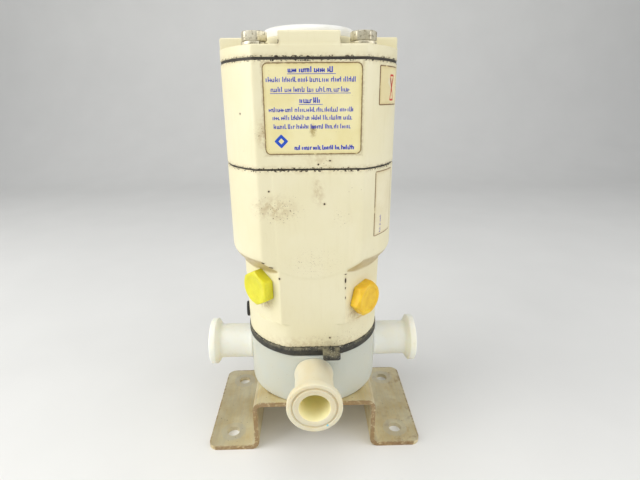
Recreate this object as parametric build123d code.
from build123d import *
import math
import os

# Three-port diaphragm valve: a plastic body on a steel hat bracket, one elastomer diaphragm with two
# weirs, and a stacked pneumatic actuator whose two pistons each lift one half of the diaphragm.
# Millimetres. Origin: centre of the bolt pattern on the floor. +Z up, the front port points to -Y.

# ---- driving dimensions -------------------------------------------------------------------------
# bracket
FOOT_SPAN = 151.5
BRACKET_DEPTH = 89.0
SHEET = 3.0
LEG_X = 42.5              # outer face of each leg
PLATEAU_Z = 39.0
BEND_RADIUS = 6.0         # outside of each bend
FOOT_CORNER = 6.5
BASE_HOLE_X = 60.0
BASE_HOLE_Y = 30.0
BASE_HOLE_RADIUS = 4.5
# valve body and ports
BODY_RADIUS = 46.0
BODY_TOP = 76.0
PORT_Z = 62.0
BORE_RADIUS = 9.5
TUBE_RADIUS = 12.5
FERRULE_RADIUS = 17.0
SIDE_TIP = 76.2
FRONT_TIP = 78.3
SOCKET_BOTTOM = 36.0      # how near the axis a spigot reaches in its socket
CHAMBER_RADIUS = 30.0
WEIR_X = 12.0
WEIR_WIDTH = 4.4
POCKET_FLOOR = 51.8       # just under the bores
WEIR_TOP = 74.0
# diaphragm
DIAPHRAGM_RADIUS = 47.0
DIAPHRAGM_TOP = 81.8
MEMBRANE_LOW = 77.0
MEMBRANE_HIGH = 80.0
TAB = (6.0, 17.2, -54.7, 78.8)      # low x, high x, low y, low z
# actuator housings
CASE_RADIUS = 54.0
CASE_FLAT = 44.5
CASE_EDGE = 3.0
NECK_RADIUS = 46.2
NECK_FLAT = 43.2
SHOULDER_LOW = 126.0      # where the shoulder's cone would leave the neck's core
SHOULDER_CORE = 40.0      # radius of that core
SHOULDER_HIGH = 142.6
CYLINDER_RADIUS = 35.0
LOWER_FLOOR = 132.0
LOWER_TOP = 198.0
UPPER_BOTTOM = 199.0
UPPER_FLOOR = 207.0
UPPER_TOP = 256.3
COVER_BOTTOM = 257.7
COVER_LEDGE = 264.0
COVER_TOP = 270.5
ARM_X = 16.6              # half width of the front and back blocks of the cover
ARM_Y = 16.0              # half width of the side blocks
CAP_RADIUS = 28.0
CAP_TOP = 276.0
# air port pads
PAD_LOW = 98.5
PAD_DISTANCE = 45.4       # from the axis, at the pad's foot
PAD_TILT = 1.0            # degrees of casting draft
AIR_LEFT_Z = 122.0
AIR_RIGHT_Z = 113.0
PLUG_FLATS = 21.0
PLUG_HEAD = 7.0
SPOT_FACE = 12.6          # radius cleared round each plug's head
# moving parts
ROD_X = 12.0
ROD_RADIUS = 5.0
STUB_RADIUS = 4.0
LIFT = 6.0
PISTON_HEIGHT = 14.0
PISTON_GAP = 4.0          # under a piston when its half of the valve is closed
SEAL_PLAY = 0.05
FREE_PLAY = 0.4
SPRING_MEAN = 22.5
SPRING_WIRE = 2.5
# fasteners
COVER_BOLT_XY = 30.0
BODY_SCREW_XY = 27.0
M8 = 4.0
M8_CLEARANCE = 4.5
HEX_M8 = 13.0
HEX_M10 = 16.0
LOCK_NUT = 5.0
LABEL = 0.25

# ---- worked out from them -----------------------------------------------------------------------
LOWER_PISTON_Z = LOWER_FLOOR + PISTON_GAP
UPPER_PISTON_Z = UPPER_FLOOR + PISTON_GAP
COMPRESSOR_TOP = MEMBRANE_HIGH + 9.0
NECK_CEILING = COMPRESSOR_TOP + LOCK_NUT + LIFT + 2.0
SPRING_SEAT_TOP = COVER_BOTTOM + 6.8
STAND = (Align.CENTER, Align.CENTER, Align.MIN)


# ---- helpers ------------------------------------------------------------------------------------
def disc(radius, low, high, x=0.0, y=0.0):
    """Upright cylinder between two heights."""
    return Pos(x, y, low) * Cylinder(radius, high - low, align=STAND)


def ring(outer, inner, low, high, x=0.0, y=0.0):
    """Upright sleeve between two heights."""
    return disc(outer, low, high, x, y) - disc(inner, low, high, x, y)


def drill(start, end, radius):
    """Straight drilled hole between two points, as the solid to take away."""
    run = Vector(*end) - Vector(*start)
    return Plane(origin=start, z_dir=run) * Cylinder(radius, run.length, align=STAND)


def corners(distance):
    """The four corners of a square bolt pattern."""
    return [(x, y) for x in (-distance, distance) for y in (-distance, distance)]


def case_outline(radius, flat, edge):
    """Round section with a flat at the front and at the back, its four upright edges rounded."""
    shape = Circle(radius) & Rectangle(4 * radius, 2 * flat)
    return fillet(shape.vertices(), edge)


def plate(outline, low, high):
    """A plane outline drawn on the floor, raised between two heights."""
    return Pos(0, 0, low) * extrude(outline, high - low)


def hexagon(flats, height, turn=0.0, chamfer_depth=0.7):
    """Hexagonal head standing on the floor, its top corners turned down to a cone."""
    block = extrude(Rot(0, 0, turn) * RegularPolygon(flats / 2, 6, major_radius=False), height)
    corner = flats / math.sqrt(3)
    trim = Cylinder(corner + 0.01, height, align=STAND)
    trim = chamfer(trim.faces().sort_by(Axis.Z)[-1].edges(), chamfer_depth, 1.6 * chamfer_depth)
    return block & trim


def coil(low, high, turns):
    """Open coil spring standing between two faces."""
    rise = high - low - 2 * SPRING_WIRE
    path = Helix(rise / turns, rise, SPRING_MEAN)
    wire = sweep(Plane(path @ 0, z_dir=path % 0) * Circle(SPRING_WIRE), path)
    return Pos(0, 0, low + SPRING_WIRE) * wire


def radial(azimuth, distance, height, tilt=0.0):
    """Plane on the side of the housing: its Z points away from the axis, its Y points up."""
    angle = math.radians(azimuth)
    lean = math.radians(tilt)
    outward = (math.cos(angle), math.sin(angle))
    normal = (outward[0] * math.cos(lean), outward[1] * math.cos(lean), -math.sin(lean))
    origin = (outward[0] * distance, outward[1] * distance, height)
    return Plane(origin=origin, x_dir=(-outward[1], outward[0], 0), z_dir=normal)


def pad_distance(height):
    """Distance of the leaning pad face from the axis."""
    return PAD_DISTANCE + (height - PAD_LOW) * math.tan(math.radians(PAD_TILT))


def neck_flat(height):
    """Distance of the neck's front and back flats from the axis: they lean out to the case's."""
    share = (height - DIAPHRAGM_TOP) / (SHOULDER_HIGH - DIAPHRAGM_TOP)
    return NECK_FLAT + share * (CASE_FLAT - NECK_FLAT)


AIR_PORTS = {"left": (-135.0, AIR_LEFT_Z), "right": (-45.0, AIR_RIGHT_Z)}
SPIGOTS = {"right": (0.0, SIDE_TIP), "left": (180.0, SIDE_TIP), "front": (-90.0, FRONT_TIP)}


# ---- bracket ------------------------------------------------------------------------------------
def bracket():
    """Hat-section bracket folded from sheet, with four base holes and four body screw holes."""
    half = SHEET / 2
    leg = LEG_X - half
    path = FilletPolyline(
        (-FOOT_SPAN / 2, half),
        (-leg, half),
        (-leg, PLATEAU_Z - half),
        (leg, PLATEAU_Z - half),
        (leg, half),
        (FOOT_SPAN / 2, half),
        radius=BEND_RADIUS - half,
    )
    section = Plane.XZ * trace(path, SHEET)
    hat = extrude(section, BRACKET_DEPTH / 2, both=True)
    tips = [e for e in hat.edges().filter_by(Axis.Z) if abs(e.center().X) > FOOT_SPAN / 2 - 1]
    hat = fillet(tips, FOOT_CORNER)
    for x in (-BASE_HOLE_X, BASE_HOLE_X):
        for y in (-BASE_HOLE_Y, BASE_HOLE_Y):
            hat -= disc(BASE_HOLE_RADIUS, -1, SHEET + 1, x, y)
    for x, y in corners(BODY_SCREW_XY):
        hat -= disc(M8_CLEARANCE, PLATEAU_Z - SHEET - 1, PLATEAU_Z + 1, x, y)
    return hat


# ---- valve body ---------------------------------------------------------------------------------
def spigot(side):
    """Pipe stub with a clamp ferrule at its tip, the other end in a socket of the body."""
    turn, tip = SPIGOTS[side]
    profile = Polyline(
        (SOCKET_BOTTOM, BORE_RADIUS),
        (SOCKET_BOTTOM, TUBE_RADIUS),
        (tip - 7.4, TUBE_RADIUS),
        (tip - 6.4, TUBE_RADIUS + 0.7),
        (tip - 4.6, FERRULE_RADIUS - 0.3),
        (tip - 4.2, FERRULE_RADIUS),
        (tip - 0.6, FERRULE_RADIUS),
        (tip, FERRULE_RADIUS - 0.6),
        (tip, 14.6),
        (tip - 1.0, 14.1),
        (tip - 1.0, 13.3),
        (tip, 12.8),
        (tip, BORE_RADIUS),
        close=True,
    )
    stub = revolve(Plane.XZ * make_face(profile), Axis.X)
    return Rot(0, 0, turn) * Pos(0, 0, PORT_Z) * stub


def chamber():
    """The three pockets under the diaphragm, with the two weirs left standing between them."""
    weirs = Sketch()
    for x in (-WEIR_X, WEIR_X):
        weirs += Pos(x, 0) * Rectangle(WEIR_WIDTH, 4 * CHAMBER_RADIUS)
    pockets = Circle(CHAMBER_RADIUS) - weirs
    pockets = fillet(pockets.vertices(), 2.0)
    return plate(pockets, POCKET_FLOOR, BODY_TOP + 1) + disc(CHAMBER_RADIUS, WEIR_TOP, BODY_TOP + 1)


def valve_body():
    """Round plastic body with three pockets, a bore into each and a socket for its spigot."""
    body = disc(BODY_RADIUS, PLATEAU_Z, BODY_TOP)
    body = chamfer(body.faces().sort_by(Axis.Z)[0].edges(), 1.0)
    body -= chamber()
    bore = drill((CHAMBER_RADIUS - 12, 0, PORT_Z), (BODY_RADIUS, 0, PORT_Z), BORE_RADIUS)
    socket = drill((SOCKET_BOTTOM, 0, PORT_Z), (BODY_RADIUS + 1, 0, PORT_Z), TUBE_RADIUS)
    for turn, _ in SPIGOTS.values():
        body -= Rot(0, 0, turn) * (bore + socket)
    for x, y in corners(BODY_SCREW_XY):
        body -= disc(M8_CLEARANCE, PLATEAU_Z - 1, BODY_TOP + 1, x, y)
    return body


# ---- diaphragm ----------------------------------------------------------------------------------
def diaphragm():
    """Clamped rim, thin membrane, two sealing ribs on the weirs and the moulded tab in front."""
    rim = plate(case_outline(DIAPHRAGM_RADIUS, CASE_FLAT + 0.4, 2.0), BODY_TOP, DIAPHRAGM_TOP)
    rim -= disc(CHAMBER_RADIUS - 0.5, BODY_TOP, MEMBRANE_LOW)
    rim -= disc(CHAMBER_RADIUS, MEMBRANE_HIGH, DIAPHRAGM_TOP)
    for x in (-WEIR_X, WEIR_X):
        rib = extrude(Pos(x, 0) * SlotOverall(46, WEIR_WIDTH, rotation=90), MEMBRANE_LOW - WEIR_TOP)
        rim += Pos(0, 0, WEIR_TOP) * rib
    low_x, high_x, low_y, low_z = TAB
    width = high_x - low_x
    length = -CASE_FLAT + 4 - low_y
    tab = Pos((low_x + high_x) / 2, low_y, low_z) * Box(
        width, length, DIAPHRAGM_TOP - low_z, align=(Align.CENTER, Align.MIN, Align.MIN)
    )
    ends = [e for e in tab.edges().filter_by(Axis.Z) if e.center().Y < low_y + 1]
    rim += fillet(ends, 1.6)
    for x, y in corners(BODY_SCREW_XY):
        rim -= disc(M8_CLEARANCE, BODY_TOP - 1, DIAPHRAGM_TOP + 1, x, y)
    return rim


# ---- actuator housings --------------------------------------------------------------------------
def shoulder_envelope():
    """Solid of revolution that turns the big cylinder's underside down to the neck."""
    side = FilletPolyline(
        (SHOULDER_CORE, SHOULDER_LOW),
        (CASE_RADIUS + 0.1, SHOULDER_HIGH),
        (CASE_RADIUS + 0.1, LOWER_TOP),
        radius=4.0,
    )
    rest = Polyline(side @ 1, (0, LOWER_TOP), (0, SHOULDER_LOW), side @ 0)
    return revolve(Plane.XZ * make_face(side + rest), Axis.Z)


def pad_block():
    """The two leaning pads at the front corners and the flat between them."""

    def front(height):
        flat = neck_flat(height)
        turn = math.sqrt(2) * pad_distance(height) - flat
        points = [(-turn, -flat), (turn, -flat), (flat, -turn), (flat, 0), (-flat, 0), (-flat, -turn)]
        shape = make_face(Polyline(*points, close=True))
        shape = fillet([v for v in shape.vertices() if v.Y < -1], CASE_EDGE)
        return Pos(0, 0, height) * shape

    return loft([front(PAD_LOW), front(SHOULDER_HIGH)], ruled=True)


def pad_cutter(azimuth):
    """What is left off the round neck outside a flat pad, up to the shoulder."""
    height = SHOULDER_HIGH + 1 - PAD_LOW
    block = Box(60, height, 14, align=(Align.CENTER, Align.MIN, Align.MIN))
    return radial(azimuth, PAD_DISTANCE, PAD_LOW, PAD_TILT) * block


def leaning_section(radius_low, low, radius_high, high):
    """Round section with leaning flats between two heights."""
    foot = Pos(0, 0, low) * case_outline(radius_low, neck_flat(low), CASE_EDGE)
    head = Pos(0, 0, high) * case_outline(radius_high, neck_flat(high), CASE_EDGE)
    return loft([foot, head], ruled=True)


def lower_casting():
    """Outside of the lower housing: big cylinder, shoulder, tapering neck and the air port pads."""
    case = plate(case_outline(CASE_RADIUS, CASE_FLAT, CASE_EDGE), SHOULDER_HIGH, LOWER_TOP)
    case += leaning_section(CASE_RADIUS, SHOULDER_LOW, CASE_RADIUS, SHOULDER_HIGH)
    case &= shoulder_envelope()
    neck = leaning_section(NECK_RADIUS, DIAPHRAGM_TOP, NECK_RADIUS + 0.6, SHOULDER_HIGH)
    neck += pad_block()
    for azimuth, _ in AIR_PORTS.values():
        neck -= pad_cutter(azimuth)
    return case + neck


def air_port(azimuth, height):
    """Tapped port, the round seat of its seal and the spot face of its plug, to take away."""
    seat = radial(azimuth, pad_distance(height), height, PAD_TILT)
    port = seat * Pos(0, 0, -12) * Cylinder(6.6, 13, align=STAND)
    port += seat * Pos(0, 0, -1.6) * Cylinder(9.0, 2.6, align=STAND)
    return port + seat * Cylinder(SPOT_FACE, 2 * PLUG_HEAD, align=STAND)


def polar(radius, azimuth, height):
    """Point given by radius, azimuth and height."""
    angle = math.radians(azimuth)
    return (radius * math.cos(angle), radius * math.sin(angle), height)


CHANNEL = (40.0, -28.0)   # radius and azimuth of the upright air channel to the upper cylinder
VENT = (185.0, 91.0)      # azimuth and height of the leak-detection hole
VENT_SEAT = NECK_RADIUS - 0.6


def lower_housing():
    """Cast and painted lower housing with the cylinder, rod guides, ports and channels cut in it."""
    case = lower_casting()
    case -= disc(CHAMBER_RADIUS, DIAPHRAGM_TOP - 1, NECK_CEILING)
    case -= disc(CYLINDER_RADIUS, LOWER_FLOOR, LOWER_TOP + 1)
    for x in (-ROD_X, ROD_X):
        case -= disc(ROD_RADIUS + FREE_PLAY, NECK_CEILING - 1, LOWER_FLOOR + 1, x)
        case -= disc(7.0, NECK_CEILING - 1, NECK_CEILING + 14, x)
        case -= disc(9.0, LOWER_FLOOR - 6, LOWER_FLOOR + 1, x)
    for x, y in corners(BODY_SCREW_XY):
        case -= disc(M8 + 0.02, DIAPHRAGM_TOP - 1, NECK_CEILING, x, y)
    for x, y in corners(COVER_BOLT_XY):
        case -= disc(M8 + 0.02, LOWER_TOP - 26, LOWER_TOP + 1, x, y)
    for azimuth, height in AIR_PORTS.values():
        case -= air_port(azimuth, height)
    left_end = polar(22, -135, AIR_LEFT_Z)
    case -= drill(polar(35, -135, AIR_LEFT_Z), left_end, 2.0)
    case -= drill(left_end, (left_end[0], left_end[1], LOWER_FLOOR + 1), 2.0)
    riser = polar(*CHANNEL, AIR_RIGHT_Z)
    case -= drill(polar(33.5, -45, AIR_RIGHT_Z), riser, 2.0)
    case -= drill(riser, polar(*CHANNEL, LOWER_TOP + 1), 2.0)
    case -= drill(polar(28, *VENT), polar(50, *VENT), 3.02)
    case -= radial(VENT[0], VENT_SEAT, VENT[1]) * Cylinder(5.9, 4, align=STAND)
    case -= drill((0, 30, LOWER_TOP - 8), (0, 50, LOWER_TOP - 8), 1.5)
    return case


def upper_housing():
    """Upper housing: its floor parts the two cylinders and guides the long rod."""
    case = plate(case_outline(CASE_RADIUS, CASE_FLAT, CASE_EDGE), UPPER_BOTTOM, UPPER_TOP)
    case -= disc(CYLINDER_RADIUS, UPPER_FLOOR, UPPER_TOP + 1)
    case -= disc(ROD_RADIUS + FREE_PLAY, UPPER_BOTTOM - 1, UPPER_FLOOR + 1, ROD_X)
    case -= disc(7.0, UPPER_BOTTOM - 1, UPPER_BOTTOM + 4, ROD_X)
    case -= disc(9.0, UPPER_BOTTOM + 4, UPPER_FLOOR + 1, ROD_X)
    for x, y in corners(COVER_BOLT_XY):
        case -= disc(M8_CLEARANCE, UPPER_BOTTOM - 1, UPPER_TOP + 1, x, y)
    mouth = UPPER_FLOOR + 2.1
    case -= drill(polar(*CHANNEL, UPPER_BOTTOM - 1), polar(*CHANNEL, mouth), 2.0)
    case -= drill(polar(*CHANNEL, mouth), polar(30, CHANNEL[1], mouth), 2.0)
    case -= drill((0, 30, UPPER_TOP - 8), (0, 50, UPPER_TOP - 8), 1.5)
    return case


def flange_gasket(low, high, inset):
    """Flat gasket between two castings, a little smaller than their outline."""
    sheet = plate(case_outline(CASE_RADIUS - inset, CASE_FLAT - inset, CASE_EDGE), low, high)
    sheet -= disc(CYLINDER_RADIUS, low - 1, high + 1)
    for x, y in corners(COVER_BOLT_XY):
        sheet -= disc(M8_CLEARANCE, low - 1, high + 1, x, y)
    return sheet - drill(polar(*CHANNEL, low - 1), polar(*CHANNEL, high + 1), 2.0)


def top_cover():
    """Cover with four raised blocks round a centre boss; the bolts sit in the corner pockets."""
    outline = case_outline(CASE_RADIUS, CASE_FLAT, CASE_EDGE)
    cross = Rectangle(2 * ARM_X, 4 * CASE_RADIUS) + Rectangle(4 * CASE_RADIUS, 2 * ARM_Y)
    cross = (cross + Circle(CAP_RADIUS + 1.5)) & outline
    blocks = plate(cross, COVER_LEDGE, COVER_TOP)
    blocks = fillet(blocks.faces().sort_by(Axis.Z)[-1].edges(), 0.9)
    cover = plate(outline, COVER_BOTTOM, COVER_LEDGE) + blocks
    cover -= disc(CYLINDER_RADIUS - 1.5, COVER_BOTTOM - 1, SPRING_SEAT_TOP)
    cover -= disc(10.0, COVER_BOTTOM, COVER_TOP + 1)
    for x, y in corners(COVER_BOLT_XY):
        cover -= disc(M8_CLEARANCE, COVER_BOTTOM - 1, COVER_LEDGE + 1, x, y)
    return cover


def cover_cap():
    """Round plastic cap whose spigot closes the hole in the middle of the cover."""
    cap = disc(CAP_RADIUS, COVER_TOP, CAP_TOP)
    cap = fillet(cap.faces().sort_by(Axis.Z)[-1].edges(), 3.2)
    return cap + ring(9.9, 7.5, COVER_TOP - 5, COVER_TOP + 1)


# ---- fasteners and plugs ------------------------------------------------------------------------
def cover_bolts():
    """Four long hexagon bolts through the cover and the upper housing into the lower housing."""
    turns = {(-1, -1): -71.5, (1, -1): -67.0, (-1, 1): 20.0, (1, 1): 42.0}
    bolts = []
    for (side_x, side_y), turn in turns.items():
        head = Pos(0, 0, COVER_LEDGE + 2.3) * hexagon(HEX_M8, 5.3, turn)
        bolt = head + disc(M8, LOWER_TOP - 22, COVER_LEDGE + 3)
        bolts.append(Pos(side_x * COVER_BOLT_XY, side_y * COVER_BOLT_XY, 0) * bolt)
    return Compound(bolts)


def spring_washers():
    """A split spring washer under each bolt head."""
    washers = []
    for x, y in corners(COVER_BOLT_XY):
        washer = ring(7.4, M8 + 0.1, COVER_LEDGE, COVER_LEDGE + 2.3)
        slit = Rot(0, 0, 30) * Pos(6, 0, COVER_LEDGE + 1.15) * Rot(35, 0, 0) * Box(8, 0.7, 8)
        washers.append(Pos(x, y, 0) * (washer - slit))
    return Compound(washers)


def body_screws():
    """Four screws from under the bracket that clamp the body and the diaphragm to the neck."""
    low = PLATEAU_Z - SHEET - 1.6
    screws = []
    for x, y in corners(BODY_SCREW_XY):
        head = Pos(x, y, low) * Rot(180, 0, 0) * hexagon(HEX_M8, 5.3)
        screws.append(head + disc(M8, low - 1, NECK_CEILING - 2.5, x, y))
    return Compound(screws)


def body_washers():
    """A flat washer under each body screw's head."""
    high = PLATEAU_Z - SHEET
    return Compound([ring(8.0, M8 + 0.1, high - 1.6, high, x, y) for x, y in corners(BODY_SCREW_XY)])


def air_plug(side, turn):
    """Hexagonal plastic plug screwed into an air port, with a shallow round dish in its face."""
    azimuth, height = AIR_PORTS[side]
    plug = hexagon(PLUG_FLATS, PLUG_HEAD, turn, 1.0)
    plug -= Pos(0, 0, PLUG_HEAD - 0.5) * Cylinder(8.2, 1, align=STAND)
    plug += Pos(0, 0, -9) * Cylinder(6.5, 10, align=STAND)
    plug -= Pos(0, 0, -10) * Cylinder(4.5, 9, align=STAND)
    return radial(azimuth, pad_distance(height), height, PAD_TILT) * plug


def plug_seals():
    """An O-ring in the seat under each air plug's head."""
    seal = Pos(0, 0, -0.8) * Torus(7.6, 0.8)
    places = [radial(turn, pad_distance(high), high, PAD_TILT) for turn, high in AIR_PORTS.values()]
    return Compound([place * seal for place in places])


def vent_plug():
    """Small plug in the leak-detection hole of the diaphragm space."""
    shank = Pos(0, 0, -9) * Cylinder(3.0, 10, align=STAND)
    head = fillet(Cylinder(5.5, 2.6, align=STAND).faces().sort_by(Axis.Z)[-1].edges(), 0.8)
    return radial(VENT[0], VENT_SEAT, VENT[1]) * (shank + head)


# ---- rod guides and seals -----------------------------------------------------------------------
def guide_bush(low, high, x):
    """Plain bearing bush that guides a rod."""
    return ring(6.98, ROD_RADIUS + SEAL_PLAY, low, high, x)


def rod_seal(low, high, x):
    """Lip seal round a rod."""
    seal = ring(8.9, ROD_RADIUS + SEAL_PLAY, low, high, x)
    return seal - ring(7.4, 6.2, high - 2.5, high + 1, x)


def neck_bushes():
    """The two bushes in the neck."""
    return Compound([guide_bush(NECK_CEILING, NECK_CEILING + 14, x) for x in (-ROD_X, ROD_X)])


def neck_seals():
    """The two rod seals in the floor of the lower cylinder."""
    return Compound([rod_seal(LOWER_FLOOR - 6, LOWER_FLOOR, x) for x in (-ROD_X, ROD_X)])


# ---- moving parts -------------------------------------------------------------------------------
def compressor(x):
    """Block that presses one rib of the diaphragm on its weir, threaded on its rod."""
    foot = extrude(SlotOverall(44, 10, rotation=90), 5)
    foot = Pos(x, 0, MEMBRANE_HIGH) * foot
    boss = disc(9.5, MEMBRANE_HIGH, COMPRESSOR_TOP, x)
    for x_side in (-1, 1):
        boss -= Pos(x + x_side * 11, 0, MEMBRANE_HIGH + 5) * Box(4, 40, 30)
    return foot + boss - disc(ROD_RADIUS + 0.02, MEMBRANE_HIGH + 2, COMPRESSOR_TOP + 1, x)


def rod(x, piston_z):
    """Stainless rod: threaded foot in the compressor, shoulder and stub in the piston."""
    shaft = disc(ROD_RADIUS, MEMBRANE_HIGH + 2.5, piston_z, x)
    stub = disc(STUB_RADIUS, piston_z, piston_z + PISTON_HEIGHT + 7, x)
    stub = chamfer(stub.faces().sort_by(Axis.Z)[-1].edges(), 0.8)
    return shaft + stub


def rod_nuts(x, piston_z):
    """Lock nut on the compressor and nut on the piston."""
    lower = Pos(x, 0, COMPRESSOR_TOP) * hexagon(HEX_M10, LOCK_NUT, 30)
    lower -= disc(ROD_RADIUS + 0.02, MEMBRANE_HIGH, COMPRESSOR_TOP + 9, x)
    top = piston_z + PISTON_HEIGHT
    upper = Pos(x, 0, top) * hexagon(HEX_M8, 5, 30) - disc(STUB_RADIUS + 0.02, top - 1, top + 6, x)
    return Compound([lower, upper])


def piston(low, rod_x, pass_x=None):
    """Piston disc with a seal groove, a relieved underside and the hole of its own rod."""
    high = low + PISTON_HEIGHT
    disk = disc(CYLINDER_RADIUS - FREE_PLAY, low, high)
    disk -= ring(CYLINDER_RADIUS, 31.0, low + 5, low + 9)
    disk -= ring(31.0, 26.0, high - 4, high + 1)
    disk -= disc(STUB_RADIUS + 0.02, low - 1, high + 1, rod_x)
    if pass_x is not None:
        disk -= disc(ROD_RADIUS + FREE_PLAY, low - 1, high + 1, pass_x)
        disk -= disc(8.02, low + 5, high + 1, pass_x)
    return disk


def piston_seal(low):
    """Seal ring in a piston's groove."""
    return ring(CYLINDER_RADIUS - SEAL_PLAY, 31.02, low + 5.05, low + 8.95)


def pass_seal():
    """Seal in the lower piston round the rod that passes through it."""
    high = LOWER_PISTON_Z + PISTON_HEIGHT
    return ring(8.0, ROD_RADIUS + SEAL_PLAY, LOWER_PISTON_Z + 5, high - 3, ROD_X)


# ---- labels -------------------------------------------------------------------------------------
def front_label():
    """Square sticker on the flat front of the upper housing."""
    sheet = fillet(Rectangle(53.6, 48).vertices(), 3.0)
    place = Plane(origin=(1.6, -CASE_FLAT, 231), x_dir=(1, 0, 0), z_dir=(0, -1, 0))
    return place * extrude(sheet, LABEL)


def side_label(start, end, low, high):
    """Sticker bent round the right side of a housing, between two azimuths and two heights."""
    sheet = ring(CASE_RADIUS + LABEL, CASE_RADIUS, low, high)
    reach = 3 * CASE_RADIUS
    wedge = make_face(Polyline((0, 0), polar(reach, start, 0)[:2], polar(reach, end, 0)[:2], close=True))
    return sheet & plate(wedge, low, high)


# ---- the assembly -------------------------------------------------------------------------------
def nodes():
    """Every piece by name."""
    return {
        "bracket": bracket(),
        "valve_body": valve_body(),
        "left_spigot": spigot("left"),
        "right_spigot": spigot("right"),
        "front_spigot": spigot("front"),
        "diaphragm": diaphragm(),
        "lower_housing": lower_housing(),
        "housing_gasket": flange_gasket(LOWER_TOP, UPPER_BOTTOM, 0.8),
        "upper_housing": upper_housing(),
        "cover_gasket": flange_gasket(UPPER_TOP, COVER_BOTTOM, 0.4),
        "top_cover": top_cover(),
        "cover_cap": cover_cap(),
        "cover_bolts": cover_bolts(),
        "spring_washers": spring_washers(),
        "body_screws": body_screws(),
        "body_washers": body_washers(),
        "air_plug_left": air_plug("left", 30),
        "air_plug_right": air_plug("right", 12),
        "plug_seals": plug_seals(),
        "vent_plug": vent_plug(),
        "neck_bushes": neck_bushes(),
        "neck_rod_seals": neck_seals(),
        "partition_bush": guide_bush(UPPER_BOTTOM, UPPER_BOTTOM + 4, ROD_X),
        "partition_rod_seal": rod_seal(UPPER_BOTTOM + 4, UPPER_FLOOR, ROD_X),
        "lower_spring": coil(LOWER_PISTON_Z + PISTON_HEIGHT, UPPER_BOTTOM, 5),
        "upper_spring": coil(UPPER_PISTON_Z + PISTON_HEIGHT, SPRING_SEAT_TOP, 4),
        "left_rod": rod(-ROD_X, LOWER_PISTON_Z),
        "left_compressor": compressor(-ROD_X),
        "left_rod_nuts": rod_nuts(-ROD_X, LOWER_PISTON_Z),
        "lower_piston": piston(LOWER_PISTON_Z, -ROD_X, ROD_X),
        "lower_piston_seal": piston_seal(LOWER_PISTON_Z),
        "rod_pass_seal": pass_seal(),
        "right_rod": rod(ROD_X, UPPER_PISTON_Z),
        "right_compressor": compressor(ROD_X),
        "right_rod_nuts": rod_nuts(ROD_X, UPPER_PISTON_Z),
        "upper_piston": piston(UPPER_PISTON_Z, ROD_X),
        "upper_piston_seal": piston_seal(UPPER_PISTON_Z),
        "front_label": front_label(),
        "upper_side_label": side_label(-44.5, -18.5, 233, 254),
        "lower_side_label": side_label(-45.5, -22.0, 156, 196),
    }


os.makedirs("parts", exist_ok=True)
for name, shape in nodes().items():
    export_step(shape, f"parts/{name}.step")
